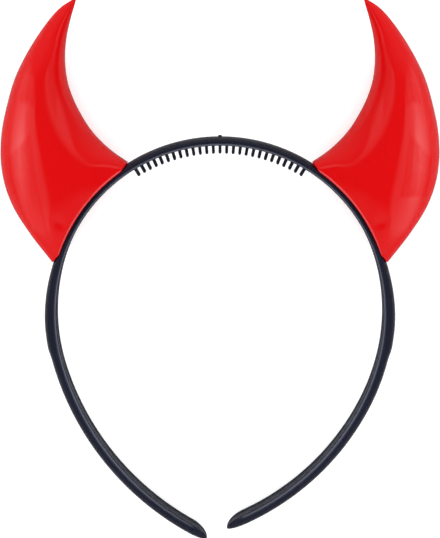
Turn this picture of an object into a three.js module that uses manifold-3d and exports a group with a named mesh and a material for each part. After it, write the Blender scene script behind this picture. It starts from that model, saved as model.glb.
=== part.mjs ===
// Devil horns headband: a springy black comb headband that carries two hollow, glossy red horns.
// All lengths are in millimetres. The hoop is drawn in its own plane, crown towards +Y and front
// towards +Z, and the finished headband is then laid on its back as it would lie on a table.
import * as THREE from 'three';
import { mergeVertices } from 'three/addons/utils/BufferGeometryUtils.js';
import Module from 'manifold-3d';

const wasm = await Module();
wasm.setup();

// Hoop: the line of the inner face, and the moulded section that stands on it. The band swells
// over swellLength, from swellOverlap under the horns' lower corners, to a pad on each arm, which
// keeps its thickness over padLength and falls to the rest of the arm over padFade.
const headRadius = 62.15;
const bandWidth = 9.4;
const crownThickness = 3.15;
const padThickness = 4.75;
const armThickness = 4.25;
const swellOverlap = 16.7;
const swellLength = 43;
const padLength = 5;
const padFade = 6;
const channelWidth = 5.2;
const channelDepth = 0.3;
const tipLength = 8;
const tipLimit = 0.97;
const stationSpacing = 4.5;
const tipStations = 5;

// Comb under the crown
const toothCount = 27;
const toothPitch = 2.55;
const toothWidth = 1.15;
const toothLength = 3.2;
const toothDepth = 4.2;
const toothRoot = 0.8;
const toothSteps = 4;

// Small stub that the moulding gate left on top of the crown
const stubDiameter = 1.8;
const stubHeight = 0.5;
const stubTopShare = 0.67;
const stubSides = 12;

// Horns: where they sit on the hoop, how far they reach, and their shell
const hornSeatAngle = 52.7;
const hornBaseLength = 45.8;
const hornHeight = 79.25;
const hornBulge = 33.6;
const hornDepth = 23;
const wallThickness = 1.5;
const tipRadius = 0.6;
const hornStations = 18;
const hornSides = 24;

// Gap left between pieces that meet
const clearance = 0.3;

// Length of the tool that cuts the band's seat into a horn, as a share of hornBaseLength
const seatCutShare = 1.5;

// Arcs of the inner face from the crown down each arm, tangent to each other.
// radius is a share of headRadius, and sweep is in degrees.
const rightArcs = [
  { radius: 0.98, sweep: 73.5 },
  { radius: 1.141, sweep: 29 },
  { radius: 1.301, sweep: 14 },
  { radius: 1.527, sweep: 42.9 },
];
const leftArcs = [
  { radius: 0.98, sweep: 73.5 },
  { radius: 1.141, sweep: 33 },
  { radius: 1.688, sweep: 47.6 },
];

// Edges of a horn above its base, in the hoop's plane, and how deep it is between them.
// rise is a share of hornHeight, reach of hornBulge, and depth of hornDepth.
const hornSections = [
  { outerReach: 0.688, outerRise: -0.095, innerReach: -0.242, innerRise: 0.29, depth: 0.84 },
  { outerReach: 0.866, outerRise: 0.027, innerReach: -0.107, innerRise: 0.342, depth: 0.95 },
  { outerReach: 0.964, outerRise: 0.142, innerReach: 0.014, innerRise: 0.403, depth: 1 },
  { outerReach: 1, outerRise: 0.266, innerReach: 0.118, innerRise: 0.476, depth: 1 },
  { outerReach: 0.981, outerRise: 0.389, innerReach: 0.195, innerRise: 0.545, depth: 0.97 },
  { outerReach: 0.918, outerRise: 0.512, innerReach: 0.252, innerRise: 0.625, depth: 0.91 },
  { outerReach: 0.82, outerRise: 0.643, innerReach: 0.274, innerRise: 0.718, depth: 0.8 },
  { outerReach: 0.635, outerRise: 0.791, innerReach: 0.255, innerRise: 0.821, depth: 0.56 },
  { outerReach: 0.423, outerRise: 0.916, innerReach: 0.198, innerRise: 0.923, depth: 0.32 },
  { outerReach: 0.308, outerRise: 0.965, innerReach: 0.166, innerRise: 0.966, depth: 0.19 },
];
const leanShare = 0.162;

// Shape of the band's section: heights of its rounded edges, and of the horn's rim beside it,
// as shares of its thickness, the width of its inner lips as a share of bandWidth, and how much
// of the thickness that is lost in an arm's rounded end goes from the inner side
const lipShare = 0.9;
const taperShare = 0.8;
const edgeShare = 0.2;
const shoulderShare = 0.45;
const rimShare = 0.71;
const crownSteps = 6;

const toRadians = THREE.MathUtils.degToRad;

// Length of one arc of the inner face.
function arcLength(arc) {
  return arc.radius * headRadius * toRadians(arc.sweep);
}

const rightLength = rightArcs.reduce((sum, arc) => sum + arcLength(arc), 0);
const leftLength = leftArcs.reduce((sum, arc) => sum + arcLength(arc), 0);

// Point on the inner face at a signed distance from the crown, right positive,
// with the direction that points out of the hoop there.
function hoopAt(distance) {
  const side = Math.sign(distance) || 1;
  const arcs = distance < 0 ? leftArcs : rightArcs;
  let x = 0;
  let y = headRadius;
  let heading = 0;
  let remaining = Math.abs(distance);
  for (const [index, arc] of arcs.entries()) {
    const radius = arc.radius * headRadius;
    const used = index === arcs.length - 1 ? remaining : Math.min(remaining, arcLength(arc));
    const turn = used / radius;
    x += radius * (Math.sin(heading + turn) - Math.sin(heading));
    y += radius * (Math.cos(heading + turn) - Math.cos(heading));
    heading += turn;
    remaining -= used;
  }
  return {
    point: new THREE.Vector3(side * x, y, 0),
    outward: new THREE.Vector3(side * Math.sin(heading), Math.cos(heading), 0),
  };
}

// Distance from the crown, along the right arm, at which the hoop has turned by an angle.
function distanceAtAngle(degrees) {
  let low = 0;
  let high = rightLength;
  while (high - low > 0.001) {
    const middle = (low + high) / 2;
    const { point } = hoopAt(middle);
    if (Math.atan2(point.x, point.y) < toRadians(degrees)) {
      low = middle;
    } else {
      high = middle;
    }
  }
  return low;
}

const seatDistance = distanceAtAngle(hornSeatAngle);
const swellStart = seatDistance + hornBaseLength / 2 - swellOverlap;
const padStart = swellStart + swellLength;
const padEnd = padStart + padLength;

// Full thickness of the band: it grows from the crown's to the pads', and falls to the arms'.
function thicknessAt(distance) {
  const grown = THREE.MathUtils.smoothstep(Math.abs(distance), swellStart, padStart);
  const fallen = THREE.MathUtils.smoothstep(Math.abs(distance), padEnd, padEnd + padFade);
  const padded = THREE.MathUtils.lerp(crownThickness, padThickness, grown);
  return padded + (armThickness - padThickness) * fallen;
}

// Share of the full section that is left in the rounded end of an arm.
function endShare(distance) {
  const armLength = distance < 0 ? leftLength : rightLength;
  const into = THREE.MathUtils.clamp(1 - (armLength - Math.abs(distance)) / tipLength, 0, tipLimit);
  return Math.sqrt(1 - into * into);
}

// Places section points, given as across the band and up from its inner face, on the hoop.
function ringAt(distance, section) {
  const { point, outward } = hoopAt(distance);
  return section.map(({ across, up }) => point.clone()
    .addScaledVector(outward, up)
    .add(new THREE.Vector3(0, 0, across)));
}

// Crowned outer face from the front shoulder over the top to the rear shoulder.
function crownedFace(halfWidth, shoulder, height) {
  return Array.from({ length: crownSteps + 1 }, (_, step) => {
    const angle = Math.PI * step / crownSteps;
    return {
      across: halfWidth * Math.cos(angle),
      up: shoulder + (height - shoulder) * Math.sin(angle),
    };
  });
}

// Section of the band: shallow channel in the inner face, rounded edges, crowned outer face.
function bandSection(distance) {
  const share = endShare(distance);
  const halfWidth = bandWidth / 2 * share;
  const thickness = thicknessAt(distance) * share;
  const lift = (thicknessAt(distance) - thickness) * taperShare;
  const channel = channelDepth * share;
  const channelFloor = channelWidth / 2 * share - channel;
  const edge = [
    { across: channelFloor, up: channel },
    { across: channelFloor + 2 * channel, up: 0 },
    { across: halfWidth * lipShare, up: 0 },
    { across: halfWidth, up: thickness * edgeShare },
  ];
  const mirroredEdge = edge.map(({ across, up }) => ({ across: -across, up })).reverse();
  return [...edge, ...crownedFace(halfWidth, thickness * shoulderShare, thickness), ...mirroredEdge]
    .map(({ across, up }) => ({ across, up: up + lift }));
}

// Closed body through rings of equally many points, with a cap round the middle of each end.
// Seen along the rings' travel, the points of a ring turn clockwise.
function loft(rings) {
  const sides = rings[0].length;
  const last = rings.length - 1;
  const middles = [rings[0], rings[last]].map((ring) => (
    ring.reduce((sum, point) => sum.add(point), new THREE.Vector3()).divideScalar(sides)));
  const positions = [...rings.flat(), ...middles].flatMap((point) => point.toArray());
  const startMiddle = sides * rings.length;
  const indices = [];
  for (let side = 0; side < sides; side += 1) {
    const neighbour = (side + 1) % sides;
    for (let start = 0; start < last * sides; start += sides) {
      const here = start + side;
      const next = start + neighbour;
      indices.push(here, next, next + sides, here, next + sides, here + sides);
    }
    indices.push(startMiddle, neighbour, side);
    indices.push(startMiddle + 1, last * sides + side, last * sides + neighbour);
  }
  const geometry = new THREE.BufferGeometry();
  geometry.setAttribute('position', new THREE.Float32BufferAttribute(positions, 3));
  geometry.setIndex(indices);
  return geometry;
}

// Closed three.js geometry as a solid that can be cut and joined, its corners welded.
function toSolid(geometry) {
  const bare = geometry.clone();
  bare.deleteAttribute('normal');
  bare.deleteAttribute('uv');
  const merged = mergeVertices(bare);
  return new wasm.Manifold(new wasm.Mesh({
    numProp: 3,
    vertProperties: new Float32Array(merged.attributes.position.array),
    triVerts: new Uint32Array(merged.index.array),
  }));
}

// Cut or joined solid as a three.js geometry again.
function toGeometry(solid) {
  const mesh = solid.getMesh();
  const geometry = new THREE.BufferGeometry();
  geometry.setAttribute('position', new THREE.Float32BufferAttribute(mesh.vertProperties, 3));
  geometry.setIndex(new THREE.Uint32BufferAttribute(mesh.triVerts, 1));
  return geometry;
}

// Distances from the crown at which the band has a section, from the right end to the left,
// closer together in the rounded ends.
function bandStations() {
  const stations = [];
  const span = leftLength + rightLength - 2 * tipLength;
  const bodyCount = Math.ceil(span / stationSpacing);
  for (let step = 0; step <= bodyCount; step += 1) {
    stations.push(rightLength - tipLength - span * step / bodyCount);
  }
  for (let step = 1; step <= tipStations; step += 1) {
    const into = tipLength * Math.sin(Math.PI / 2 * step / tipStations);
    stations.unshift(rightLength - tipLength + into);
    stations.push(-leftLength + tipLength - into);
  }
  return stations;
}

// One tooth of the comb, rounded at its end, pointing from the inner face to the hoop's centre.
function comb() {
  const outline = new THREE.Shape();
  outline.moveTo(toothWidth / 2, channelDepth + toothRoot);
  outline.lineTo(-toothWidth / 2, channelDepth + toothRoot);
  outline.lineTo(-toothWidth / 2, toothWidth / 2 - toothLength);
  outline.absarc(0, toothWidth / 2 - toothLength, toothWidth / 2, Math.PI, 2 * Math.PI, false);
  outline.closePath();
  const tooth = new THREE.ExtrudeGeometry(outline, {
    depth: toothDepth,
    bevelEnabled: false,
    curveSegments: toothSteps,
  }).translate(0, 0, -toothDepth / 2);
  return Array.from({ length: toothCount }, (_, index) => {
    const { point, outward } = hoopAt((index - (toothCount - 1) / 2) * toothPitch);
    const turn = new THREE.Matrix4().makeRotationZ(-Math.atan2(outward.x, outward.y));
    return tooth.clone().applyMatrix4(turn.setPosition(point));
  });
}

// Gate stub: a low tapered disc on top of the crown.
function gateStub() {
  const height = crownThickness / 2 + stubHeight;
  return new THREE.CylinderGeometry(stubDiameter / 2 * stubTopShare, stubDiameter / 2, height, stubSides)
    .translate(0, headRadius + crownThickness + stubHeight - height / 2, 0);
}

// Headband: hoop, comb and gate stub are one moulding.
function headband() {
  const band = loft(bandStations().map((distance) => ringAt(distance, bandSection(distance))));
  const additions = [...comb(), gateStub()];
  return toGeometry(additions.reduce((sum, piece) => sum.add(toSolid(piece)), toSolid(band)));
}

// Point above the hoop's line on the left side, at a distance from the crown.
function overHoop(distance, height) {
  const { point, outward } = hoopAt(-distance);
  return point.addScaledVector(outward, height);
}

// The corners of the horn's base sit on the band's crest. Its sections are measured from the
// middle of the base, halfway between the corners of a crest that doesn't swell.
const lowerDistance = seatDistance + hornBaseLength / 2;
const upperDistance = seatDistance - hornBaseLength / 2;
const lowerCorner = overHoop(lowerDistance, thicknessAt(lowerDistance));
const upperCorner = overHoop(upperDistance, thicknessAt(upperDistance));
const baseMiddle = overHoop(lowerDistance, crownThickness)
  .add(overHoop(upperDistance, crownThickness))
  .divideScalar(2);
const baseDepth = bandWidth + 2 * (clearance + wallThickness);

// Edge of the left horn through its base corner, its sections and its tip. The third
// coordinate carries half the horn's depth at that section.
function hornEdge(corner, reachName, riseName, tipOffset) {
  const rows = hornSections.map((section) => new THREE.Vector3(
    baseMiddle.x - section[reachName] * hornBulge,
    baseMiddle.y + section[riseName] * hornHeight,
    section.depth * hornDepth / 2,
  ));
  const tip = new THREE.Vector3(
    baseMiddle.x - leanShare * hornBulge - tipOffset,
    baseMiddle.y + hornHeight,
    tipRadius,
  );
  return new THREE.CatmullRomCurve3([new THREE.Vector3(corner.x, corner.y, baseDepth / 2), ...rows, tip]);
}

const outerEdge = hornEdge(lowerCorner, 'outerReach', 'outerRise', tipRadius);
const innerEdge = hornEdge(upperCorner, 'innerReach', 'innerRise', -tipRadius);

// Oval section of the horn between its two edges, made smaller all round by an inset.
function hornRing(share, inset) {
  const outer = outerEdge.getPoint(share);
  const inner = innerEdge.getPoint(share);
  const halfDepth = outer.z - inset;
  outer.z = 0;
  inner.z = 0;
  const centre = outer.clone().add(inner).divideScalar(2);
  const across = inner.clone().sub(outer);
  const halfWidth = across.length() / 2 - inset;
  across.normalize();
  return Array.from({ length: hornSides }, (_, side) => {
    const angle = -2 * Math.PI * side / hornSides;
    return centre.clone()
      .addScaledVector(across, halfWidth * Math.cos(angle))
      .add(new THREE.Vector3(0, 0, halfDepth * Math.sin(angle)));
  });
}

// How far up the horn its hollow reaches, where a wall is left all round.
function hollowEnd() {
  let percent = 100;
  while (outerEdge.getPoint(percent / 100).z < 2 * wallThickness) {
    percent -= 1;
  }
  return percent / 100;
}

// Horn body from its base to a share of its height, made smaller all round by an inset.
function hornBody(inset, end) {
  const rings = Array.from({ length: hornStations + 1 }, (_, step) => (
    hornRing(end * step / hornStations, inset)));
  if (inset > 0) {
    const inwards = baseMiddle.clone().normalize().multiplyScalar(-baseDepth);
    rings.unshift(rings[0].map((point) => point.clone().add(inwards)));
  }
  return loft(rings);
}

// What the band takes out of the horn's base: the crowned band with its clearance, and
// everything inside the line of the horn's rim.
function hornSeat() {
  const reach = hornDepth;
  const span = seatCutShare * hornBaseLength;
  const steps = Math.ceil(span / stationSpacing);
  const rings = Array.from({ length: steps + 1 }, (_, step) => {
    const distance = seatDistance - span / 2 + span * step / steps;
    const thickness = thicknessAt(distance);
    const rim = thickness * rimShare;
    return ringAt(-distance, [
      { across: -reach, up: -reach },
      { across: reach, up: -reach },
      { across: reach, up: rim },
      ...crownedFace(bandWidth / 2 + clearance, rim, thickness + clearance),
      { across: -reach, up: rim },
    ]);
  });
  return loft(rings);
}

// Front or back half of the left horn: the shell on one side of the parting plane, which a
// slab twice as tall as the horn to either side of its base cuts out.
function hornHalf(shell, side) {
  const slab = new THREE.BoxGeometry(4 * hornHeight, 4 * hornHeight, hornDepth)
    .translate(baseMiddle.x, baseMiddle.y, side * (hornDepth + clearance) / 2);
  return toGeometry(shell.intersect(toSolid(slab)));
}

// Mirror image of a piece across the hoop's middle, with its faces still pointing out.
function mirrored(geometry) {
  const copy = geometry.clone().scale(-1, 1, 1);
  const index = copy.index.array;
  for (let corner = 0; corner < index.length; corner += 3) {
    [index[corner], index[corner + 1]] = [index[corner + 1], index[corner]];
  }
  return copy;
}

const hornShell = toSolid(hornBody(0, 1))
  .subtract(toSolid(hornBody(wallThickness, hollowEnd())))
  .subtract(toSolid(hornSeat()));
const hornFront = hornHalf(hornShell, 1);
const hornBack = hornHalf(hornShell, -1);

const blackPlastic = new THREE.MeshStandardMaterial({
  name: 'black_plastic', color: '#24242c', roughness: 0.42, metalness: 0, flatShading: true,
});
const redPlastic = new THREE.MeshStandardMaterial({
  name: 'red_plastic', color: '#df1418', roughness: 0.18, metalness: 0, flatShading: true,
});

function piece(name, geometry, material) {
  const mesh = new THREE.Mesh(geometry, material);
  mesh.name = name;
  return mesh;
}

const bandPiece = piece('headband', headband(), blackPlastic);
const hornPieces = [
  piece('left_horn_front', hornFront, redPlastic),
  piece('left_horn_back', hornBack, redPlastic),
  piece('right_horn_front', mirrored(hornFront), redPlastic),
  piece('right_horn_back', mirrored(hornBack), redPlastic),
];

// Height of a piece's lowest point once the hoop is turned about X by a tilt.
function lowestPoint(mesh, tilt) {
  const positions = mesh.geometry.attributes.position;
  let lowest = Infinity;
  for (let vertex = 0; vertex < positions.count; vertex += 1) {
    const height = positions.getY(vertex) * Math.sin(tilt) + positions.getZ(vertex) * Math.cos(tilt);
    lowest = Math.min(lowest, height);
  }
  return lowest;
}

// Tilt at which the backs of the horns and the ends of the arms touch one flat surface, looked
// for between level and a slope that no headband lies at.
function restingTilt() {
  let low = 0;
  let high = toRadians(30);
  while (high - low > 1e-6) {
    const middle = (low + high) / 2;
    if (lowestPoint(hornPieces[1], middle) < lowestPoint(bandPiece, middle)) {
      low = middle;
    } else {
      high = middle;
    }
  }
  return (low + high) / 2;
}

const hoop = new THREE.Group();
hoop.rotation.x = restingTilt();
hoop.add(bandPiece, ...hornPieces);

// The origin is under the middle of the headband, on the surface that it lies on.
const restBox = new THREE.Box3().setFromObject(hoop, true);
hoop.position.set(
  -(restBox.min.x + restBox.max.x) / 2,
  -(restBox.min.y + restBox.max.y) / 2,
  -restBox.min.z,
);

const hornsHeadband = new THREE.Group();
hornsHeadband.add(hoop);
export default hornsHeadband;
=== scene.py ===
import math

import bpy
import numpy as np
from mathutils import Matrix


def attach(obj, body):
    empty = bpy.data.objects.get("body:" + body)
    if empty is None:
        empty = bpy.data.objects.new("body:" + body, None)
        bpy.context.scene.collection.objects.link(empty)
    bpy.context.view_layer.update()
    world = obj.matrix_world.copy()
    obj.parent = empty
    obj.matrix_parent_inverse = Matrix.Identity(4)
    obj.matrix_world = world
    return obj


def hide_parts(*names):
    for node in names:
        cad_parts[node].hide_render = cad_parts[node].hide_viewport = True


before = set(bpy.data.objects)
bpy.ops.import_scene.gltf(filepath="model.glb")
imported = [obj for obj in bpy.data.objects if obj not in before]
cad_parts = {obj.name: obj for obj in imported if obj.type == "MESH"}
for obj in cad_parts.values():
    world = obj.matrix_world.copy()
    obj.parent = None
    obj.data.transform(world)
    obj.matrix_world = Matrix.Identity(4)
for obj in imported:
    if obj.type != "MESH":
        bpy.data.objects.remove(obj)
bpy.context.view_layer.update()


# Headband: one injection moulding in satin, bluish black styrene, an open hoop that springs apart
# over a head. Its outer face is crowned, its inner face has a shallow channel between two flat
# lips, and its arms swell below the horns and end in rounded tips.
HEAD_RADIUS = 62.15
BAND_WIDTH = 9.4
CROWN_THICKNESS = 3.15
PAD_THICKNESS = 4.75
ARM_THICKNESS = 4.25
SWELL_START = 62.0
SWELL_LENGTH = 43.0
PAD_END = 110.0
PAD_FADE = 6.0
CHANNEL_WIDTH = 5.2
CHANNEL_DEPTH = 0.3
CHANNEL_FLANK = 0.6
TIP_LENGTH = 8.0
SHOULDER_SHARE = 0.45
LIP_SHARE = 0.9
TAPER_SHARE = 0.8
STUB_HEIGHT = 0.5
STUB_TOP_RADIUS = 0.6

# Arcs of the inner face from the crown down each arm: radius as a share of the head's radius,
# and sweep in degrees. Lengths of the headband and the horns are in millimetres.
RIGHT_ARCS = np.array([(0.98, 73.5), (1.141, 29.0), (1.301, 14.0), (1.527, 42.9)])
LEFT_ARCS = np.array([(0.98, 73.5), (1.141, 33.0), (1.688, 47.6)])


def hoop_plane():
    """The plane that the moulded hoop lies in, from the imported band: the slope of its vertices'
    height along Y is the tangent of the tilt, and the gate stub on the crown is its furthest
    point. Gives the tilt, and the hoop's centre in millimetres."""
    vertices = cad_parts["headband"].data.vertices
    co = np.empty(3 * len(vertices))
    vertices.foreach_get("co", co)
    co = 1000 * co.reshape(-1, 3)
    slope, level = np.polyfit(co[:, 1], co[:, 2], 1)
    tilt = math.atan(slope)
    crown = HEAD_RADIUS + CROWN_THICKNESS + STUB_HEIGHT
    centre_y = co[:, 1].max() - crown * math.cos(tilt) - STUB_TOP_RADIUS * math.sin(tilt)
    return tilt, np.array([0.0, centre_y, level + slope * centre_y])


HOOP_TILT, HOOP_CENTRE = hoop_plane()


def to_frame(points):
    """Points in the hoop's own plane, in millimetres, as the frame's metres: turned about X by the
    tilt, then moved to the hoop's centre."""
    x, y, z = np.moveaxis(np.asarray(points, float), -1, 0)
    turned = np.stack([
        x,
        y * math.cos(HOOP_TILT) - z * math.sin(HOOP_TILT),
        y * math.sin(HOOP_TILT) + z * math.cos(HOOP_TILT),
    ], axis=-1)
    return (turned + HOOP_CENTRE) / 1000


def arc_table(arcs):
    """Arcs that follow each other without a kink: radius, the heading and distance at which each
    starts, and its centre, which moves against the heading by the growth in radius."""
    radius = HEAD_RADIUS * arcs[:, 0]
    sweep = np.radians(arcs[:, 1])
    heading = np.concatenate([[0.0], np.cumsum(sweep)[:-1]])
    distance = np.concatenate([[0.0], np.cumsum(radius * sweep)[:-1]])
    shrink = -np.diff(radius, prepend=HEAD_RADIUS)
    toward = np.stack([np.sin(heading), np.cos(heading)], axis=-1)
    return radius, heading, distance, np.cumsum(shrink[:, None] * toward, axis=0)


def arm_length(arcs):
    """Length of one arm from the crown: the sum of radius times sweep."""
    return float(np.sum(HEAD_RADIUS * arcs[:, 0] * np.radians(arcs[:, 1])))


def hoop_line(distance):
    """Inner face of the hoop at signed distances from the crown, right positive: an arc's centre
    plus its radius along the heading. Gives the points and the outward directions."""
    distance = np.asarray(distance, float)
    out = []
    for arcs in (RIGHT_ARCS, LEFT_ARCS):
        radius, heading, start, centre = arc_table(arcs)
        index = np.clip(np.searchsorted(start, np.abs(distance), side="right") - 1, 0, len(arcs) - 1)
        turn = heading[index] + (np.abs(distance) - start[index]) / radius[index]
        outward = np.stack([np.sin(turn), np.cos(turn)], axis=-1)
        out.append((centre[index] + radius[index, None] * outward, outward))
    left = (distance < 0)[:, None]
    mirror = np.where(left, [-1.0, 1.0], [1.0, 1.0])
    return tuple(np.where(left, out[1][i], out[0][i]) * mirror for i in (0, 1))


def band_thickness(distance):
    """Thickness over the crest: the crown's, growing along a smooth step to the pads below the
    horns, and falling along a short one to the arms' thickness."""
    t = np.clip((np.abs(distance) - SWELL_START) / SWELL_LENGTH, 0, 1)
    u = np.clip((np.abs(distance) - PAD_END) / PAD_FADE, 0, 1)
    grown = CROWN_THICKNESS + (PAD_THICKNESS - CROWN_THICKNESS) * t * t * (3 - 2 * t)
    return grown - (PAD_THICKNESS - ARM_THICKNESS) * u * u * (3 - 2 * u)


def band_profile(thickness, across_steps=16, edge_steps=6, inner_steps=22):
    """Section as across and up: half an ellipse from shoulder to shoulder over the crest, a
    quarter ellipse round each inner edge, and flat lips that fall along smooth steps into the
    channel. One row for each thickness, one column for each point round the section."""
    t = thickness[:, None]
    half = BAND_WIDTH / 2
    shoulder = t * SHOULDER_SHARE
    over = np.linspace(0, np.pi, across_steps, endpoint=False)
    turn = np.linspace(0, np.pi / 2, edge_steps, endpoint=False)
    inner = np.linspace(-1, 1, inner_steps, endpoint=False) * half * LIP_SHARE
    ones = np.ones_like(t)
    dip = np.clip((CHANNEL_WIDTH / 2 + CHANNEL_FLANK / 2 - np.abs(inner)) / CHANNEL_FLANK, 0, 1)
    left_edge = -half * LIP_SHARE - half * (1 - LIP_SHARE) * np.cos(turn)
    right_edge = half * LIP_SHARE + half * (1 - LIP_SHARE) * np.sin(turn)
    across = np.hstack([half * np.cos(over) * ones, left_edge * ones, inner * ones, right_edge * ones])
    up = np.hstack([
        shoulder + (t - shoulder) * np.sin(over),
        shoulder * (1 - np.sin(turn)),
        ones * CHANNEL_DEPTH * dip * dip * (3 - 2 * dip),
        shoulder * (1 - np.cos(turn)),
    ])
    return across, up


def grid_faces(rows, columns, closed, first=0, flip=False):
    """Quads between neighbouring rows and columns of a grid of points, going round if closed."""
    r = np.arange(rows - 1)[:, None]
    c = np.arange(columns if closed else columns - 1)[None, :]
    n = (c + 1) % columns
    quads = np.stack([r * columns + c, r * columns + n, (r + 1) * columns + n, (r + 1) * columns + c], -1)
    quads = quads.reshape(-1, 4) + first
    return quads[:, ::-1] if flip else quads


def tube_faces(rows, columns, first, flip=False):
    """Faces of a closed tube of rings that ends in a pole vertex at each end: the rings come
    first, then the pole of the first ring, then that of the last."""
    quads = grid_faces(rows, columns, True, first, flip)
    c = np.arange(columns)
    n = (c + 1) % columns
    last = first + (rows - 1) * columns
    start, end = first + rows * columns, first + rows * columns + 1
    caps = np.vstack([
        np.stack([np.full(columns, start), first + n, first + c], -1),
        np.stack([np.full(columns, end), last + c, last + n], -1),
    ])
    return quads.tolist() + (caps[:, ::-1] if flip else caps).tolist()


def make_piece(name, points, faces, material, slot, node):
    """New mesh object with smooth faces, which rides on the part's body, takes the given material
    and stands for its CAD node."""
    mesh = bpy.data.meshes.new(name)
    mesh.from_pydata(np.asarray(points).tolist(), [], faces)
    mesh.validate()
    mesh.materials.append(material)
    mesh.shade_smooth()
    piece = bpy.data.objects.new(name, mesh)
    bpy.context.scene.collection.objects.link(piece)
    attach(piece, "root")
    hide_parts(node)
    return piece


def band_surface(stations=680, tip_rings=23):
    """The profile carried along the hoop line. Stations close up towards each arm's end, where
    the section shrinks as the square root of one less the square of the way into the tip."""
    right, left = arm_length(RIGHT_ARCS), arm_length(LEFT_ARCS)
    body = np.linspace(right - TIP_LENGTH, TIP_LENGTH - left, stations)
    into = TIP_LENGTH * np.sin(np.linspace(0, np.pi / 2, tip_rings + 2))[1:-1]
    distance = np.concatenate([(right - TIP_LENGTH + into)[::-1], body, TIP_LENGTH - left - into])
    end = np.where(distance < 0, left, right)
    share = np.sqrt(1 - np.clip(1 - (end - np.abs(distance)) / TIP_LENGTH, 0, 1) ** 2)
    thickness = band_thickness(distance)
    across, up = band_profile(thickness)
    lift = (thickness * (1 - share) * TAPER_SHARE)[:, None]
    across = across * share[:, None]
    up = up * share[:, None] + lift
    line, outward = hoop_line(distance)
    flat = line[:, None, :] + up[..., None] * outward[:, None, :]
    rings = np.concatenate([flat, across[..., None]], axis=-1)
    ends, out = hoop_line(np.array([right, -left]))
    poles = ends + TAPER_SHARE * ARM_THICKNESS * out
    poles = np.hstack([poles, np.zeros((2, 1))])
    points = np.vstack([rings.reshape(-1, 3), poles])
    return points, tube_faces(len(distance), rings.shape[1], 0)


TOOTH_COUNT = 27
TOOTH_PITCH = 2.55
TOOTH_WIDTH = 1.15
TOOTH_LENGTH = 3.2
TOOTH_DEPTH = 4.2
TOOTH_ROOT = 0.8
TOOTH_POWER = 4
FLARE_WIDTH = 0.35
FLARE_FALL = 0.22
FLARE_FOOT = -0.4


def comb_teeth(root_rows=8, shaft_rows=6, end_rows=12, columns=28):
    """Each tooth is a superellipse ring carried from its root in the band to its rounded end.
    Its width and depth flare at the root by a falling exponential, as the moulding's fillet,
    and shrink along a quarter circle at the end."""
    end_start = TOOTH_WIDTH / 2 - TOOTH_LENGTH
    turn = np.linspace(0, np.pi / 2, end_rows, endpoint=False)
    up = np.concatenate([
        np.linspace(TOOTH_ROOT, FLARE_FOOT, root_rows, endpoint=False),
        np.linspace(FLARE_FOOT, end_start, shaft_rows, endpoint=False),
        end_start - TOOTH_WIDTH / 2 * np.sin(turn),
    ])
    past = np.clip((end_start - up) / (TOOTH_WIDTH / 2), 0, 1)
    shrink = np.sqrt(1 - past * past)
    flare = FLARE_WIDTH * np.exp(-np.clip(CHANNEL_DEPTH - up, 0, None) / FLARE_FALL)
    half_width = (TOOTH_WIDTH / 2 + flare) * shrink
    half_depth = TOOTH_DEPTH / 2 + flare - TOOTH_WIDTH / 2 * (1 - shrink)
    angle = 2 * np.pi * np.arange(columns) / columns
    c, s = np.cos(angle), np.sin(angle)
    side = half_width[:, None] * np.sign(c) * np.abs(c) ** (2 / TOOTH_POWER)
    deep = half_depth[:, None] * np.sign(s) * np.abs(s) ** (2 / TOOTH_POWER)
    ring = np.stack([side, np.broadcast_to(up[:, None], side.shape), deep], -1).reshape(-1, 3)
    poles = np.array([(0, TOOTH_ROOT, 0), (0, -TOOTH_LENGTH, 0)])
    tooth = np.vstack([ring, poles])
    line, outward = hoop_line((np.arange(TOOTH_COUNT) - (TOOTH_COUNT - 1) / 2) * TOOTH_PITCH)
    along = np.stack([outward[:, 1], -outward[:, 0]], -1)
    flat = (line[:, None, :] + tooth[None, :, 0, None] * along[:, None, :]
            + tooth[None, :, 1, None] * outward[:, None, :])
    deep = np.broadcast_to(tooth[None, :, 2, None], flat.shape[:2] + (1,))
    points = np.concatenate([flat, deep], axis=-1)
    faces = []
    for index in range(TOOTH_COUNT):
        faces += tube_faces(len(up), columns, index * len(tooth), flip=True)
    return points.reshape(-1, 3), faces


STUB_ROOT = 0.6
STUB_DISH = 0.06


def gate_stub(columns=20):
    """Low tapered disc that the cut-off gate left on the crest: rings of radius and height turned
    about the crown's outward direction, with a slightly hollow, broken-off top."""
    crest = HEAD_RADIUS + CROWN_THICKNESS
    radius = np.array([0.92, 0.9, 0.78, 0.7, 0.66, STUB_TOP_RADIUS, 0.5, 0.25])
    height = np.array([-STUB_ROOT, 0.0, 0.06, 0.2, 0.36, 0.46, STUB_HEIGHT, 0.46])
    angle = 2 * np.pi * np.arange(columns) / columns
    rings = np.stack([
        radius[:, None] * np.cos(angle),
        crest + np.broadcast_to(height[:, None], (len(radius), columns)),
        radius[:, None] * np.sin(angle),
    ], -1).reshape(-1, 3)
    poles = np.array([(0, crest - STUB_ROOT, 0), (0, crest + STUB_HEIGHT - STUB_DISH, 0)])
    return np.vstack([rings, poles]), tube_faces(len(radius), columns, 0, flip=True)


def combine(tree, operation, first, second, third=None):
    """One Math node on outputs or plain numbers."""
    node = tree.nodes.new("ShaderNodeMath")
    node.operation = operation
    for socket, value in zip(node.inputs, (first, second, third)):
        if isinstance(value, (int, float)):
            socket.default_value = value
        elif value is not None:
            tree.links.new(value, socket)
    return node.outputs[0]


def blend_colours(tree, share, first, second):
    """Colour that goes from the first to the second as the share goes from 0 to 1. A Mix node
    has its colours at inputs 6 and 7 and its result at output 2."""
    mix = tree.nodes.new("ShaderNodeMix")
    mix.data_type = "RGBA"
    tree.links.new(share, mix.inputs["Factor"])
    for socket, colour in ((mix.inputs[6], first), (mix.inputs[7], second)):
        if isinstance(colour, tuple):
            socket.default_value = (*colour, 1)
        else:
            tree.links.new(colour, socket)
    return mix.outputs[2]


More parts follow.
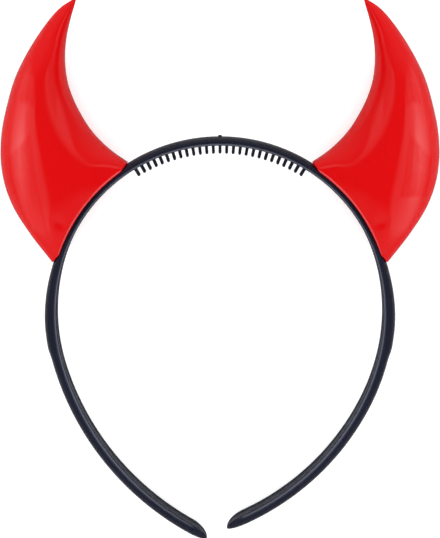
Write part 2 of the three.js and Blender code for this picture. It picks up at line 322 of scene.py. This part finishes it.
def moulded_skin(flow_rough=0.6, smear_shade=0.5, grain_height=0.25, middle=0.5):
    """Node group for moulded plastic that has been handled: fine grain in the skin, slow unevenness
    from the mould's polish, and faint smears, each a noise about its middle value. Gives a
    roughness shift, a shade and a height."""
    group = bpy.data.node_groups.new("moulded_skin", "ShaderNodeTree")
    face = group.interface
    for label, value in (("Grain Size", 900.0), ("Flow Size", 60.0), ("Smear", 0.5)):
        face.new_socket(label, in_out="INPUT", socket_type="NodeSocketFloat").default_value = value
    for label in ("Rough Shift", "Shade", "Height"):
        face.new_socket(label, in_out="OUTPUT", socket_type="NodeSocketFloat")
    nodes, links = group.nodes, group.links
    given = nodes.new("NodeGroupInput")
    gives = nodes.new("NodeGroupOutput")
    place = nodes.new("ShaderNodeTexCoord")

    def noise(size_label, detail, stretch):
        bend = nodes.new("ShaderNodeMapping")
        bend.inputs["Scale"].default_value = stretch
        made = nodes.new("ShaderNodeTexNoise")
        made.inputs["Detail"].default_value = detail
        links.new(place.outputs["Object"], bend.inputs["Vector"])
        links.new(bend.outputs["Vector"], made.inputs["Vector"])
        links.new(given.outputs[size_label], made.inputs["Scale"])
        return made.outputs["Fac"]

    grain = noise("Grain Size", detail=3.0, stretch=(1.0, 1.0, 1.0))
    flow = noise("Flow Size", detail=2.0, stretch=(1.0, 1.0, 1.0))
    smear = noise("Flow Size", detail=4.0, stretch=(5.0, 1.2, 3.0))
    smears = combine(group, "MULTIPLY", combine(group, "SUBTRACT", smear, middle), given.outputs["Smear"])
    flowing = combine(group, "SUBTRACT", flow, middle)
    rough_shift = combine(group, "ADD", combine(group, "MULTIPLY", flowing, flow_rough), smears)
    shade = combine(group, "ADD", flowing, combine(group, "MULTIPLY", smears, smear_shade))
    height = combine(group, "ADD", combine(group, "MULTIPLY", grain, grain_height), flow)
    links.new(rough_shift, gives.inputs["Rough Shift"])
    links.new(shade, gives.inputs["Shade"])
    links.new(height, gives.inputs["Height"])
    return group


MOULDED_SKIN = moulded_skin()


def plastic(name, colour, deep_colour, roughness, swing, bump, grain_size, flow_size, smear, specular):
    """Moulded plastic: colour drifts between two close shades over a small range of the skin's
    shade, roughness swings about its middle value, and the skin's height feeds a weak bump."""
    drift_range = 0.3
    skin_height = 0.0001
    material = bpy.data.materials.new(name)
    material.use_nodes = True
    material.diffuse_color = (*colour, 1)
    nodes, links = material.node_tree.nodes, material.node_tree.links
    shader = nodes["Principled BSDF"]
    shader.inputs["Specular IOR Level"].default_value = specular
    skin = nodes.new("ShaderNodeGroup")
    skin.node_tree = MOULDED_SKIN
    skin.inputs["Grain Size"].default_value = grain_size
    skin.inputs["Flow Size"].default_value = flow_size
    skin.inputs["Smear"].default_value = smear
    drift = nodes.new("ShaderNodeMapRange")
    drift.inputs["From Min"].default_value = -drift_range
    drift.inputs["From Max"].default_value = drift_range
    links.new(skin.outputs["Shade"], drift.inputs["Value"])
    base = blend_colours(material.node_tree, drift.outputs["Result"], colour, deep_colour)
    rough = combine(material.node_tree, "MULTIPLY_ADD", skin.outputs["Rough Shift"], swing, roughness)
    lift = nodes.new("ShaderNodeBump")
    lift.inputs["Strength"].default_value = bump
    lift.inputs["Distance"].default_value = skin_height
    links.new(base, shader.inputs["Base Color"])
    links.new(rough, shader.inputs["Roughness"])
    links.new(skin.outputs["Height"], lift.inputs["Height"])
    links.new(lift.outputs["Normal"], shader.inputs["Normal"])
    return material


black_plastic = plastic(
    "black_styrene", colour=(0.0072, 0.0084, 0.0185), deep_colour=(0.0055, 0.0063, 0.0145),
    roughness=0.25, swing=0.12, bump=0.12, grain_size=1400.0, flow_size=70.0, smear=0.5, specular=0.4)


def headband_mesh():
    """Band, teeth and gate stub as one list of points and faces."""
    points, faces = [], []
    for part_points, part_faces in (band_surface(), comb_teeth(), gate_stub()):
        first = sum(len(p) for p in points)
        points.append(part_points)
        faces += [[corner + first for corner in face] for face in part_faces]
    return to_frame(np.vstack(points)), faces


headband = make_piece("headband_moulding", *headband_mesh(), black_plastic, "black_plastic", "headband")


# Horns: two hollow shells in glossy red styrene. Each is moulded as a front and a back half that
# are glued along the parting plane. The open base, with a rounded rim, saddles the band's crown
# and laps its edges, and a shallow sink mark shows near it.
HORN_HEIGHT = 79.25
RIM_SHARE = 0.71
HORN_BULGE = 33.6
HORN_DEPTH = 23.0
HORN_WALL = 1.5
HORN_TIP = 0.6
HORN_LEAN = 0.162
SEAT_ANGLE = 52.7
SEAT_LENGTH = 45.8
SEAT_GAP = 0.3
SEAM_GAP = 0.08
BASE_POWER = 3.4
SQUARE_SHARE = 0.34

# Rows from base to tip: reach and rise of the outer edge, reach and rise of the inner edge, and
# depth, as shares of the horn's bulge, height and depth.
HORN_ROWS = np.array([
    (0.688, -0.095, -0.242, 0.29, 0.84),
    (0.866, 0.027, -0.107, 0.342, 0.95),
    (0.964, 0.142, 0.014, 0.403, 1),
    (1, 0.266, 0.118, 0.476, 1),
    (0.981, 0.389, 0.195, 0.545, 0.97),
    (0.918, 0.512, 0.252, 0.625, 0.91),
    (0.82, 0.643, 0.274, 0.718, 0.8),
    (0.635, 0.791, 0.255, 0.821, 0.56),
    (0.423, 0.916, 0.198, 0.923, 0.32),
    (0.308, 0.965, 0.166, 0.966, 0.19),
])


def seat_distance():
    """Distance from the crown at which the hoop has turned by the seat's angle about its own
    origin, found where that angle crosses on a fine row of distances."""
    distance = np.linspace(0, 100, 20001)
    line, _ = hoop_line(distance)
    return float(np.interp(math.radians(SEAT_ANGLE), np.arctan2(line[:, 0], line[:, 1]), distance))


SEAT_DISTANCE = seat_distance()


def centripetal_curve(points):
    """Smooth curve through rows of points, as a function of a share from 0 to 1: between two rows
    it is the centripetal Catmull-Rom blend of them and their neighbours, and beyond each end it
    takes the end row mirrored in the end."""
    padded = np.vstack([2 * points[0] - points[1], points, 2 * points[-1] - points[-2]])
    knots = np.sum(np.diff(padded, axis=0) ** 2, axis=1) ** 0.25

    def at(share):
        place = np.clip(np.asarray(share, float), 0, 1) * (len(points) - 1)
        index = np.minimum(place.astype(int), len(points) - 2)
        t = (place - index)[..., None]
        p0, p1, p2, p3 = (padded[index + k] for k in range(4))
        d0, d1, d2 = (knots[index + k][..., None] for k in range(3))
        m1 = ((p1 - p0) / d0 - (p2 - p0) / (d0 + d1) + (p2 - p1) / d1) * d1
        m2 = ((p2 - p1) / d1 - (p3 - p1) / (d1 + d2) + (p3 - p2) / d2) * d1
        return p1 + t * (m1 + t * (3 * (p2 - p1) - 2 * m1 - m2 + t * (2 * (p1 - p2) + m1 + m2)))

    return at


def horn_edges():
    """Outer and inner edge of the left horn, from its base corners on the band's crest through
    its rows to its tip. Rows are measured from the middle of a base on an even crest. The third
    coordinate is half the horn's depth at that row."""
    ends = -SEAT_DISTANCE + SEAT_LENGTH / 2 * np.array([-1.0, 1.0])
    line, outward = hoop_line(ends)
    corners = line + band_thickness(ends)[:, None] * outward
    middle = (line + CROWN_THICKNESS * outward).mean(axis=0)
    base = BAND_WIDTH / 2 + SEAT_GAP + HORN_WALL
    half = HORN_ROWS[:, 4] * HORN_DEPTH / 2
    edges = []
    for corner, reach, rise, tip in ((corners[0], 0, 1, HORN_TIP), (corners[1], 2, 3, -HORN_TIP)):
        rows = np.stack([middle[0] - HORN_ROWS[:, reach] * HORN_BULGE,
                         middle[1] + HORN_ROWS[:, rise] * HORN_HEIGHT, half], -1)
        top = (middle[0] - HORN_LEAN * HORN_BULGE - tip, middle[1] + HORN_HEIGHT, HORN_TIP)
        edges.append(centripetal_curve(np.vstack([(*corner, base), rows, top])))
    return edges


OUTER_EDGE, INNER_EDGE = horn_edges()


def horn_surface(share, angle, inset, end, rounding):
    """Point of a horn's front half: across the section by the cosine c of the angle from outer to
    inner edge, and forward by half the depth times (1 - |c|^m)^(1/m), all less the inset. That is
    a superellipse whose power m falls along a cube from the squarish base to 2, an ellipse. Near
    the end the section closes along a quarter circle over the rounding."""
    outer, inner = OUTER_EDGE(share), INNER_EDGE(share)
    power = 2 + (BASE_POWER - 2) * np.clip(1 - share / SQUARE_SHARE, 0, 1) ** 3
    across = inner[..., :2] - outer[..., :2]
    width = np.linalg.norm(across, axis=-1)
    past = np.clip(1 - (end - share) / rounding, 0, 1)
    close = np.sqrt(1 - past * past)
    half_width = (width / 2 - inset) * close
    half_depth = (outer[..., 2] - inset) * close
    centre = (inner[..., :2] + outer[..., :2]) / 2
    flat = centre + across / width[..., None] * (half_width * np.cos(angle))[..., None]
    bulge = (1 - np.abs(np.cos(angle)) ** power) ** (1 / power)
    forward = SEAM_GAP / 2 + (half_depth - SEAM_GAP / 2 * close) * bulge
    return np.concatenate([flat, forward[..., None]], axis=-1)


def above_seat(points):
    """How far points stand outside what the band takes from the horn's base: the crowned band
    with its gap, and everything inside the line of the horn's rim."""
    radius, heading, start, centre = arc_table(LEFT_ARCS)
    flat = points[..., :2] * [-1.0, 1.0]
    turned = np.arctan2(flat[..., 0] - centre[0, 0], flat[..., 1] - centre[0, 1])
    arc = (turned > heading[1]).astype(int)
    offset = flat - centre[arc]
    up = np.linalg.norm(offset, axis=-1) - radius[arc]
    turn = np.arctan2(offset[..., 0], offset[..., 1])
    thickness = band_thickness(start[arc] + radius[arc] * (turn - heading[arc]))
    rim = thickness * RIM_SHARE
    wide = np.clip(np.abs(points[..., 2]) / (BAND_WIDTH / 2 + SEAT_GAP), 0, 1)
    return up - rim - (thickness + SEAT_GAP - rim) * np.sqrt(1 - wide * wide)


def base_share(angle, inset, end, rounding, halvings=24):
    """Share of the way up at which the horn's wall leaves the seat, found for all angles by
    halving the lower half of the horn again and again."""
    low, high = np.zeros_like(angle), np.full_like(angle, 0.5)
    for _ in range(halvings):
        middle = (low + high) / 2
        outside = above_seat(horn_surface(middle, angle, inset, end, rounding)) > 0
        low, high = np.where(outside, low, middle), np.where(outside, middle, high)
    return high


def hollow_end():
    """Share of the way up at which the horn is only two walls deep, where its hollow closes."""
    share = np.linspace(0.5, 1, 501)
    return float(share[np.argmax(OUTER_EDGE(share)[:, 2] < 2 * HORN_WALL)])


SINK_PLACE = (-59.7, 34.0)
SINK_RADIUS = 1.6
SINK_DEPTH = 0.42
RIM_ROUND = 0.9
RIM_ROUND_AT_SEAM = 0.02
RIM_STEPS = np.array([0.0, 0.0002, 0.0006, 0.0012, 0.002, 0.003, 0.0045, 0.007])
TIP_CROWDING = 0.12
TIP_ROUNDING = 0.008
HOLLOW_ROUNDING = 0.03


def horn_half(rows=132, columns=73):
    """Front half of the left horn, hollow: an outer and an inner grid from the seat to the tip,
    joined by strips along the base rim and both parting edges, each grid closed by a pole. Rows
    crowd towards the tip by a sine. The base rim rounds inwards along a quarter circle, for which
    the first rows lie close together. Its radius shrinks towards the parting edges as the root of
    the sine of the angle. The sink mark pushes the outer grid back by a bell curve."""
    angle = np.linspace(0, np.pi, columns)
    grids, poles = [], []
    for inset, end, rounding in ((0.0, 1.0, TIP_ROUNDING), (HORN_WALL, hollow_end(), HOLLOW_ROUNDING)):
        start = base_share(angle, inset, end, rounding)
        step = np.concatenate([RIM_STEPS, np.linspace(RIM_STEPS[-1], 1, rows - len(RIM_STEPS) + 2)[1:-1]])
        step = (step + TIP_CROWDING * np.sin(np.pi * step))[:, None]
        share = start + (end - start) * step
        turn = np.broadcast_to(angle, share.shape)
        grid = horn_surface(share, turn, inset, end, rounding)
        if inset == 0:
            run = np.cumsum(np.linalg.norm(np.diff(grid, axis=0, prepend=grid[:1]), axis=-1), axis=0)
            radius = RIM_ROUND * np.sqrt(np.sin(angle)) + RIM_ROUND_AT_SEAM
            into = np.clip(1 - run / radius, 0, 1)
            grid = horn_surface(share, turn, radius * (1 - np.sqrt(1 - into * into)), end, rounding)
        tip = horn_surface(np.array([end]), np.array([np.pi / 2]), inset, end, rounding)
        grids.append(grid)
        poles.append(tip)
    sink = np.linalg.norm(grids[0][..., :2] - SINK_PLACE, axis=-1) / SINK_RADIUS
    grids[0][..., 2] -= SINK_DEPTH * np.exp(-sink ** 2)
    points = np.vstack([grids[0].reshape(-1, 3), grids[1].reshape(-1, 3), poles[0], poles[1]])
    count = rows * columns
    outer_pole, inner_pole = 2 * count, 2 * count + 1
    faces = grid_faces(rows, columns, closed=False).tolist()
    faces += grid_faces(rows, columns, closed=False, first=count, flip=True).tolist()
    row = np.arange(rows - 1) * columns
    column = np.arange(columns - 1)
    for edge, order in ((0, 1), (columns - 1, -1)):
        strip = np.stack([row + edge, row + edge + columns, row + edge + columns + count,
                          row + edge + count], -1)
        faces += strip[:, ::order].tolist()
        top = (rows - 1) * columns + edge
        faces += [[top, outer_pole, inner_pole, top + count][::order]]
    faces += np.stack([column + 1, column, column + count, column + 1 + count], -1).tolist()
    top = (rows - 1) * columns + column
    faces += np.stack([top, top + 1, np.full(columns - 1, outer_pole)], -1).tolist()
    faces += np.stack([top + 1 + count, top + count, np.full(columns - 1, inner_pole)], -1).tolist()
    return points, faces


red_plastic = plastic(
    "red_styrene", colour=(0.54, 0.0017, 0.0026), deep_colour=(0.52, 0.0014, 0.0022),
    roughness=0.085, swing=0.05, bump=0.03, grain_size=700.0, flow_size=45.0, smear=0.4, specular=0.5)

EDGE_ROUND = 0.12
EDGE_ANGLE = 50
half_points, half_faces = horn_half()
turned_faces = [face[::-1] for face in half_faces]
horns = []
for side, across in (("left", 1.0), ("right", -1.0)):
    for half, forward in (("front", 1.0), ("back", -1.0)):
        placed = to_frame(half_points * [across, 1.0, forward])
        faces = turned_faces if across * forward > 0 else half_faces
        horn = make_piece(f"{side}_horn_{half}_shell", placed, faces, red_plastic,
                          "red_plastic", f"{side}_horn_{half}")
        rounded = horn.modifiers.new("moulded_edges", "BEVEL")
        rounded.width = EDGE_ROUND / 1000
        rounded.segments = 2
        rounded.limit_method = "ANGLE"
        rounded.angle_limit = math.radians(EDGE_ANGLE)
        horns.append(horn)


# Table, light and camera: the headband lies on a plain white table. Each horn has a softbox and a
# weak fill at its side, with a strip light and a low card across from them, and the band a dim tent
# and a small low lamp. Flags keep each light to its piece, and the camera leans towards the horns.
TABLE_REACH = 3.0
TABLE_WHITE, TABLE_OFF_WHITE = (0.95, 0.95, 0.955), (0.93, 0.93, 0.935)
# painted shade: the table's colour as gloss rays see it, darker than its own colour
TABLE_PAINTED_DIM_GLOSS_COLOUR = (0.27, 0.27, 0.27)
# painted light: a glow that only camera rays see, which hides the table's shadows
TABLE_PAINTED_CAMERA_GLOW = 0.28


def table_material():
    """Near-white matt surface whose tone drifts very slightly. Its colour is painted dimmer for gloss
    rays only, a painted shade in what the horns mirror, and only the camera sees a painted glow that
    lifts it and washes out its shadows, as a photograph's burnt-out background is."""
    material = bpy.data.materials.new("white_table")
    material.use_nodes = True
    tree = material.node_tree
    shader = tree.nodes["Principled BSDF"]
    shader.inputs["Roughness"].default_value = 0.9
    shader.inputs["Specular IOR Level"].default_value = 0.1
    shader.inputs["Emission Color"].default_value = (1.0, 1.0, 1.0, 1)
    place = tree.nodes.new("ShaderNodeTexCoord")
    noise = tree.nodes.new("ShaderNodeTexNoise")
    noise.inputs["Scale"].default_value = 6.0
    path = tree.nodes.new("ShaderNodeLightPath")
    tree.links.new(place.outputs["Object"], noise.inputs["Vector"])
    seen = blend_colours(tree, noise.outputs["Fac"], TABLE_WHITE, TABLE_OFF_WHITE)
    # painted shade: gloss rays get the dimmer colour, so the horns mirror a darker table
    base = blend_colours(tree, path.outputs["Is Glossy Ray"], seen, TABLE_PAINTED_DIM_GLOSS_COLOUR)
    # painted light: the table glows for camera rays only
    lift = combine(tree, "MULTIPLY", path.outputs["Is Camera Ray"], TABLE_PAINTED_CAMERA_GLOW)
    tree.links.new(base, shader.inputs["Base Color"])
    tree.links.new(lift, shader.inputs["Emission Strength"])
    return material


table_corners = [(x * TABLE_REACH, y * TABLE_REACH, 0) for x, y in ((-1, -1), (1, -1), (1, 1), (-1, 1))]
table_mesh = bpy.data.meshes.new("table_top")
table_mesh.from_pydata(table_corners, [], [(0, 1, 2, 3)])
table_mesh.materials.append(table_material())
table = bpy.data.objects.new("table_top", table_mesh)
bpy.context.scene.collection.objects.link(table)


def aimed(name, data, place, target, up=(0.0, 0.0, 1.0)):
    """Light or camera at a place in metres, its -Z axis towards a target: right is the cross of
    the view direction and up, and the object's axes are right, their cross, and back."""
    back = np.subtract(place, target)
    back = back / np.linalg.norm(back)
    right = np.cross(up, back)
    right = right / np.linalg.norm(right)
    pose = np.eye(4)
    pose[:3] = np.column_stack([right, np.cross(back, right), back, place])
    thing = bpy.data.objects.new(name, data)
    thing.matrix_world = Matrix(pose.tolist())
    bpy.context.scene.collection.objects.link(thing)
    return thing


def ramp(tree, value, start, end, top=1.0):
    """Smooth step in a node tree: 0 where the value is at the start, the top where it is at the end."""
    step = tree.nodes.new("ShaderNodeMapRange")
    step.interpolation_type = "SMOOTHSTEP"
    for label, number in (("From Min", start), ("From Max", end), ("To Min", 0.0), ("To Max", top)):
        step.inputs[label].default_value = number
    tree.links.new(value, step.inputs["Value"])
    return step.outputs["Result"]


def lit_cloth(name, glow_of, colour=(1.0, 1.0, 1.0)):
    """Diffuser cloth that adds its glow to what is behind it. The glow comes from a function of
    the tree and of X, Y and Z in metres of the frame."""
    material = bpy.data.materials.new(name)
    material.use_nodes = True
    tree = material.node_tree
    tree.nodes.clear()
    place = tree.nodes.new("ShaderNodeTexCoord")
    split = tree.nodes.new("ShaderNodeSeparateXYZ")
    clear = tree.nodes.new("ShaderNodeBsdfTransparent")
    emit = tree.nodes.new("ShaderNodeEmission")
    both = tree.nodes.new("ShaderNodeAddShader")
    surface = tree.nodes.new("ShaderNodeOutputMaterial")
    tree.links.new(place.outputs["Object"], split.inputs["Vector"])
    glow = glow_of(tree, *split.outputs)
    emit.inputs["Color"].default_value = (*colour, 1)
    tree.links.new(glow, emit.inputs["Strength"])
    tree.links.new(clear.outputs["BSDF"], both.inputs[0])
    tree.links.new(emit.outputs["Emission"], both.inputs[1])
    tree.links.new(both.outputs["Shader"], surface.inputs["Surface"])
    return material


def light_sheet(name, x, y, z, material, pieces, matt=True, gloss=True):
    """Sheet of cloth along a line of X and Z, carried over a run of Y. Flags keep its light to
    the pieces that it is set up for, and to their matt light or their gloss if the other is off."""
    grid = np.stack([np.broadcast_to(np.asarray(x)[:, None], (len(x), len(y))),
                     np.broadcast_to(np.asarray(y), (len(x), len(y))),
                     np.broadcast_to(np.asarray(z)[:, None], (len(x), len(y)))], -1)
    mesh = bpy.data.meshes.new(name)
    mesh.from_pydata(grid.reshape(-1, 3).tolist(), [], grid_faces(len(x), len(y), False).tolist())
    mesh.materials.append(material)
    sheet = bpy.data.objects.new(name, mesh)
    sheet.visible_camera = False
    sheet.visible_shadow = False
    sheet.visible_diffuse = matt
    sheet.visible_glossy = gloss
    bpy.context.scene.collection.objects.link(sheet)
    flagged = bpy.data.collections.new(name + "_subjects")
    for piece in pieces:
        flagged.objects.link(piece)
    sheet.light_linking.receiver_collection = flagged


# Lights are in metres. A fade gives where it starts, where it is full and how strong it is there,
# which is 1 if not given.
SOFTBOX_AWAY = 0.16
SOFTBOX_TOP = 1.0
SOFTBOX_HIGH_FADE = (SOFTBOX_TOP, 0.35, 0.58)
SOFTBOX_LOW_FADE = (0.32, 0.08, 0.38)
SOFTBOX_ALONG_FADE = (-0.14, 0.08, 0.35)
SOFTBOX_EVEN = 0.8
SOFTBOX_TIP_FADE = (0.145, 0.105)
FOOT_FADE = (0.0, 0.06)
FOOT_SLANT = 1.5
FOOT_SLANT_START = -0.06
BULB_PLACE = (SOFTBOX_AWAY, 0.015, 0.11)
BULB_FADE = (0.085, 0.0, 1.8)


def softbox_glow(tree, x, y, z):
    """Upright softbox: a plateau that fades upwards, a bulb's hot spot low down, a soft edge
    towards the horns' tips, and a foot that is cut off slanting towards the arms."""
    bulb = tree.nodes.new("ShaderNodeVectorMath")
    bulb.operation = "DISTANCE"
    bulb.inputs[1].default_value = BULB_PLACE
    flat = tree.nodes.new("ShaderNodeCombineXYZ")
    flat.inputs["X"].default_value = SOFTBOX_AWAY
    tree.links.new(y, flat.inputs["Y"])
    tree.links.new(z, flat.inputs["Z"])
    tree.links.new(flat.outputs["Vector"], bulb.inputs[0])
    hot = ramp(tree, bulb.outputs["Value"], *BULB_FADE)
    upwards = combine(tree, "ADD", ramp(tree, z, *SOFTBOX_HIGH_FADE), ramp(tree, z, *SOFTBOX_LOW_FADE))
    along = combine(tree, "ADD", ramp(tree, y, *SOFTBOX_ALONG_FADE), SOFTBOX_EVEN)
    plateau = combine(tree, "MULTIPLY", upwards, along)
    past = combine(tree, "MINIMUM", combine(tree, "SUBTRACT", y, FOOT_SLANT_START), 0.0)
    slant = combine(tree, "MULTIPLY_ADD", past, FOOT_SLANT, z)
    shape = combine(tree, "MULTIPLY", ramp(tree, slant, *FOOT_FADE), ramp(tree, y, *SOFTBOX_TIP_FADE))
    return combine(tree, "MULTIPLY", combine(tree, "ADD", plateau, hot), shape)


STRIP_CRISP_FADE = (0.142, 0.13)
STRIP_SOFT_FADE = (0.084, 0.1)
STRIP_FOOT_FADE = (0.06, 0.16)
STRIP_TOP = 0.6
STRIP_TOP_FADE = (STRIP_TOP, 0.25, 0.5)


def strip_glow(tree, x, y, z):
    """Narrow upright strip light with one crisp and one soft edge, fading towards its top."""
    width = combine(tree, "MULTIPLY", ramp(tree, y, *STRIP_CRISP_FADE), ramp(tree, y, *STRIP_SOFT_FADE))
    height = combine(tree, "MULTIPLY", ramp(tree, z, *STRIP_FOOT_FADE), ramp(tree, z, *STRIP_TOP_FADE))
    return combine(tree, "MULTIPLY", width, height)


CARD_TOP_FADE = (0.26, 0.18)
CARD_ALONG_FADE = (0.02, -0.04, 2.2)


def card_glow(tree, x, y, z):
    """Low white card towards the arms, which the rounded rims of the horns' bases mirror."""
    return combine(tree, "MULTIPLY", ramp(tree, z, *CARD_TOP_FADE), ramp(tree, y, *CARD_ALONG_FADE))


FILL_FADE = (1.4, 0.0, 0.3)


def fill_glow(tree, x, y, z):
    """Weak even light from the softbox's side, which gives the horns' outer flanks more red."""
    return ramp(tree, z, *FILL_FADE)


softbox_cloth = lit_cloth("softbox_cloth", softbox_glow)
fill_cloth = lit_cloth("fill_cloth", fill_glow)
strip_cloth = lit_cloth("strip_cloth", strip_glow)
card_cloth = lit_cloth("card_cloth", card_glow)
for side, facing in ((-1.0, horns[:2]), (1.0, horns[2:])):
    which = "left" if side < 0 else "right"
    light_sheet(f"{which}_horn_softbox", [side * SOFTBOX_AWAY] * 2, [-0.45, 0.15], [0.0, SOFTBOX_TOP],
                softbox_cloth, facing, matt=False)
    light_sheet(f"{which}_horn_fill", [side * SOFTBOX_AWAY] * 2, [-0.3, 0.3], [0.0, SOFTBOX_TOP],
                fill_cloth, facing, gloss=False)
    light_sheet(f"{which}_horn_strip", [-side * SOFTBOX_AWAY] * 2, [0.08, 0.145], [0.05, STRIP_TOP],
                strip_cloth, facing)
    light_sheet(f"{which}_rim_card", [-side * SOFTBOX_AWAY] * 2, [-0.35, 0.03], [0.0, 0.27],
                card_cloth, facing, matt=False)


TENT_ROOF = 0.3
TENT_SIDE = 0.52
TENT_FOOT = 0.01
TENT_BEND = 0.12
TENT_SLOT = 0.055
TENT_FULL = 0.22
TENT_GLOW = 0.15
TENT_FRONT, TENT_BACK = -0.37, 0.22
DAYLIGHT = (0.86, 0.92, 1.08)


def tent_glow(tree, x, y, z):
    """Even glow that fades towards the camera's slot in the middle of the roof."""
    return ramp(tree, combine(tree, "ABSOLUTE", x, 0.0), TENT_SLOT, TENT_FULL, TENT_GLOW)


tent_cloth = lit_cloth("tent_cloth", tent_glow, DAYLIGHT)
tent_turn = np.linspace(0, np.pi / 2, 9)
tent_round_x = TENT_SIDE - TENT_BEND * (1 - np.sin(tent_turn))
tent_round_z = TENT_ROOF - TENT_BEND * (1 - np.cos(tent_turn))
tent_x = np.concatenate([[TENT_SLOT, TENT_FULL], tent_round_x, [TENT_SIDE]])
tent_z = np.concatenate([[TENT_ROOF, TENT_ROOF], tent_round_z, [TENT_FOOT]])
for side in (-1.0, 1.0):
    light_sheet("left_band_tent" if side < 0 else "right_band_tent", side * tent_x,
                np.linspace(TENT_FRONT, TENT_BACK, 4), tent_z, tent_cloth, [headband])


LAMP_ABOVE = 0.1
LAMP_MIDDLE = -0.045
LAMP_HALF_WIDTH, LAMP_HALF_LENGTH = 0.034, 0.05
LAMP_FADE = (1.2, 0.4, 4.8)


def lamp_glow(tree, x, y, z):
    """Small oval lamp that hangs low over the middle of the hoop, soft all round: the glow falls
    off with the square of the distance from its middle, counted in half widths and lengths."""
    across = combine(tree, "DIVIDE", x, LAMP_HALF_WIDTH)
    along = combine(tree, "DIVIDE", combine(tree, "SUBTRACT", y, LAMP_MIDDLE), LAMP_HALF_LENGTH)
    oval = combine(tree, "ADD", combine(tree, "POWER", across, 2.0), combine(tree, "POWER", along, 2.0))
    return ramp(tree, oval, *LAMP_FADE)


lamp_cloth = lit_cloth("lamp_cloth", lamp_glow, DAYLIGHT)
light_sheet("band_lamp", [0.05, -0.05], [-0.12, 0.03], [LAMP_ABOVE] * 2, lamp_cloth, [headband])

ROOM_TIP_FADE = (0.0, 0.9, 0.35)
ROOM_ARM_FADE = (-0.42, -0.62, 0.28)


def studio_world(dome=1.4, unlit=0.02, backdrop=1.0):
    """Room around the set: an even dome for soft light, plain and pale to the camera. Gloss
    mirrors a dark room that pales towards the horns' tips and in front of the arms' tips."""
    world = bpy.data.worlds.new("studio")
    world.use_nodes = True
    tree = world.node_tree
    path = tree.nodes.new("ShaderNodeLightPath")
    toward = tree.nodes.new("ShaderNodeTexCoord")
    split = tree.nodes.new("ShaderNodeSeparateXYZ")
    tree.links.new(toward.outputs["Generated"], split.inputs["Vector"])
    along = split.outputs["Y"]
    room = combine(tree, "ADD", ramp(tree, along, *ROOM_TIP_FADE), ramp(tree, along, *ROOM_ARM_FADE))
    mirrored = combine(tree, "ADD", room, unlit)
    gloss = tree.nodes.new("ShaderNodeMix")
    gloss.inputs["A"].default_value = dome
    seen = tree.nodes.new("ShaderNodeMix")
    seen.inputs["B"].default_value = backdrop
    tree.links.new(path.outputs["Is Glossy Ray"], gloss.inputs["Factor"])
    tree.links.new(mirrored, gloss.inputs["B"])
    tree.links.new(path.outputs["Is Camera Ray"], seen.inputs["Factor"])
    tree.links.new(gloss.outputs["Result"], seen.inputs["A"])
    tree.links.new(seen.outputs["Result"], tree.nodes["Background"].inputs["Strength"])
    tree.nodes["Background"].inputs["Color"].default_value = (1.0, 1.0, 1.0, 1)
    return world


bpy.context.scene.world = studio_world()
bpy.context.scene.view_settings.view_transform = "Standard"

CAMERA_DISTANCE = 0.75
CAMERA_LEAN = math.radians(9.0)
CAMERA_AIM = 15.4
PICTURE_HEIGHT = 0.2019
SENSOR_HEIGHT = 36.0
camera_data = bpy.data.cameras.new("camera")
camera_data.sensor_fit = "VERTICAL"
camera_data.sensor_height = SENSOR_HEIGHT
camera_data.lens = SENSOR_HEIGHT * CAMERA_DISTANCE / PICTURE_HEIGHT
camera_target = to_frame((0.0, CAMERA_AIM, 0.0))
camera_place = to_frame((0.0, CAMERA_AIM + 1000 * CAMERA_DISTANCE * math.sin(CAMERA_LEAN),
                         1000 * CAMERA_DISTANCE * math.cos(CAMERA_LEAN)))
bpy.context.scene.camera = aimed("camera", camera_data, camera_place, camera_target, up=(0.0, 1.0, 0.0))
